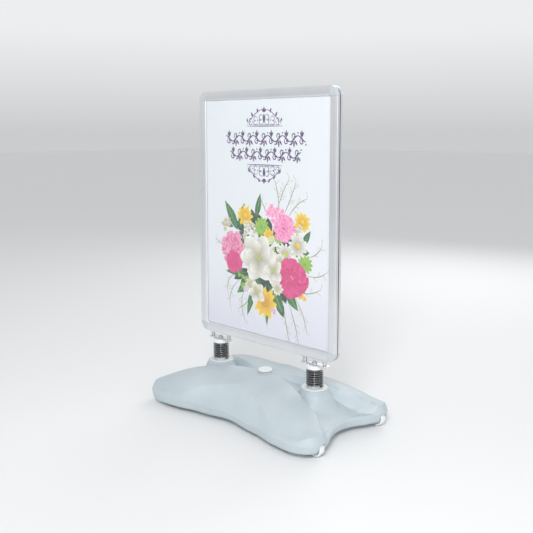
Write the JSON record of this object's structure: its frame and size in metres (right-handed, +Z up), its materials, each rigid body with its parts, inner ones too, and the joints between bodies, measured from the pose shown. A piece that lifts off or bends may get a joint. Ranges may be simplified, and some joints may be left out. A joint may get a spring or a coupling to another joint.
{
  "type": "sandwich board",
  "caption": "Double-sided snap-frame poster panel that sways on coil springs over a wheeled, water-filled pavement base.",
  "frame": {"origin": "on the ground, under the centre of the base", "axes": "+X along the panel towards the wheels, +Y from front face to rear face, +Z up"},
  "size_m": [0.7814, 0.4662, 1.127],
  "materials": {
    "tank_plastic": "satin blow-moulded polyethylene, light blue-grey",
    "black_rubber": "matt moulded rubber",
    "white_plastic": "smooth moulded white",
    "collar_plastic": "satin light grey",
    "zinc_steel": "zinc plated",
    "brass": "turned",
    "black_spring_steel": "glossy black coated wire",
    "bracket_steel": "bright zinc-plated plate",
    "anodised_aluminium": "satin silver anodised, fine lengthwise lines",
    "silver_plastic": "silver moulded plastic",
    "foam_board": "white paper-faced foam board",
    "poster_paper": "printed poster paper",
    "clear_sheet": "clear anti-glare sheet"
  },
  "bodies": {
    "base": {"base_tank": "tank_plastic", "front_left_foot": "black_rubber", "front_right_foot": "black_rubber", "rear_left_foot": "black_rubber", "rear_right_foot": "black_rubber", "front_axle": "zinc_steel", "rear_axle": "zinc_steel", "left_spring_seat": "collar_plastic", "left_spring_insert": "brass", "left_lower_bolt": "zinc_steel", "left_spring": "black_spring_steel", "right_spring_seat": "collar_plastic", "right_spring_insert": "brass", "right_lower_bolt": "zinc_steel", "right_spring": "black_spring_steel"},
    "sign_panel": {"left_spring_plug": "white_plastic", "left_upper_bolt": "zinc_steel", "left_spring_nut": "zinc_steel", "left_lower_plate": "bracket_steel", "left_upper_plate": "bracket_steel", "left_bracket_outer_sleeve": "zinc_steel", "left_bracket_inner_sleeve": "zinc_steel", "left_bracket_outer_bolt": "zinc_steel", "left_bracket_inner_bolt": "zinc_steel", "right_spring_plug": "white_plastic", "right_upper_bolt": "zinc_steel", "right_spring_nut": "zinc_steel", "right_lower_plate": "bracket_steel", "right_upper_plate": "bracket_steel", "right_bracket_outer_sleeve": "zinc_steel", "right_bracket_inner_sleeve": "zinc_steel", "right_bracket_outer_bolt": "zinc_steel", "right_bracket_inner_bolt": "zinc_steel", "left_rail": "anodised_aluminium", "right_rail": "anodised_aluminium", "bottom_rail": "anodised_aluminium", "top_rail": "anodised_aluminium", "bottom_left_corner": "silver_plastic", "bottom_right_corner": "silver_plastic", "top_left_corner": "silver_plastic", "top_right_corner": "silver_plastic", "backing_board": "foam_board", "front_poster": "poster_paper", "rear_poster": "poster_paper", "front_clear_cover": "clear_sheet", "rear_clear_cover": "clear_sheet"},
    "front_left_lid": {"front_left_lid": "anodised_aluminium"},
    "front_right_lid": {"front_right_lid": "anodised_aluminium"},
    "front_bottom_lid": {"front_bottom_lid": "anodised_aluminium"},
    "front_top_lid": {"front_top_lid": "anodised_aluminium"},
    "rear_left_lid": {"rear_left_lid": "anodised_aluminium"},
    "rear_right_lid": {"rear_right_lid": "anodised_aluminium"},
    "rear_bottom_lid": {"rear_bottom_lid": "anodised_aluminium"},
    "rear_top_lid": {"rear_top_lid": "anodised_aluminium"},
    "front_wheel": {"front_wheel": "white_plastic"},
    "rear_wheel": {"rear_wheel": "white_plastic"},
    "cap_seal": {"cap_seal": "black_rubber"},
    "filler_cap": {"filler_cap": "white_plastic"}
  },
  "joints": [
    {"name": "panel_sway", "type": "hinge", "parent": "base", "child": "sign_panel", "pos_m": [0, 0, 0.1754], "axis": [1, 0, 0], "range_deg": [-20, 20], "stiffness_Nm_per_rad": 150, "deforming": ["left_spring", "right_spring"]},
    {"name": "front_left_lid_hinge", "type": "hinge", "parent": "sign_panel", "child": "front_left_lid", "pos_m": [-0.3184, -0.0109, 0.6845], "axis": [0, 0, -1], "range_deg": [0, 88]},
    {"name": "front_right_lid_hinge", "type": "hinge", "parent": "sign_panel", "child": "front_right_lid", "pos_m": [0.3184, -0.0109, 0.6845], "axis": [0, 0, 1], "range_deg": [0, 88]},
    {"name": "front_bottom_lid_hinge", "type": "hinge", "parent": "sign_panel", "child": "front_bottom_lid", "pos_m": [0, -0.0109, 0.2426], "axis": [1, 0, 0], "range_deg": [0, 88]},
    {"name": "front_top_lid_hinge", "type": "hinge", "parent": "sign_panel", "child": "front_top_lid", "pos_m": [0, -0.0109, 1.1264], "axis": [-1, 0, 0], "range_deg": [0, 88]},
    {"name": "rear_left_lid_hinge", "type": "hinge", "parent": "sign_panel", "child": "rear_left_lid", "pos_m": [-0.3184, 0.0109, 0.6845], "axis": [0, 0, 1], "range_deg": [0, 88]},
    {"name": "rear_right_lid_hinge", "type": "hinge", "parent": "sign_panel", "child": "rear_right_lid", "pos_m": [0.3184, 0.0109, 0.6845], "axis": [0, 0, -1], "range_deg": [0, 88]},
    {"name": "rear_bottom_lid_hinge", "type": "hinge", "parent": "sign_panel", "child": "rear_bottom_lid", "pos_m": [0, 0.0109, 0.2426], "axis": [-1, 0, 0], "range_deg": [0, 88]},
    {"name": "rear_top_lid_hinge", "type": "hinge", "parent": "sign_panel", "child": "rear_top_lid", "pos_m": [0, 0.0109, 1.1264], "axis": [1, 0, 0], "range_deg": [0, 88]},
    {"name": "front_wheel_spin", "type": "hinge", "parent": "base", "child": "front_wheel", "pos_m": [0.3665, -0.163, 0.026], "axis": [0, 1, 0], "continuous": true},
    {"name": "rear_wheel_spin", "type": "hinge", "parent": "base", "child": "rear_wheel", "pos_m": [0.3665, 0.163, 0.026], "axis": [0, 1, 0], "continuous": true},
    {"name": "cap_lift", "type": "slide", "parent": "base", "child": "cap_seal", "axis": [0, 0, 1], "range_m": [0, 0.0121]},
    {"name": "cap_turn", "type": "hinge", "parent": "cap_seal", "child": "filler_cap", "pos_m": [0, 0, 0.15], "axis": [0, 0, 1], "range_deg": [0, 1080]}
  ],
  "couplings": [
    {"joint": "cap_lift", "follows": "cap_turn", "m_per_rad": 0.00063662}
  ]
}
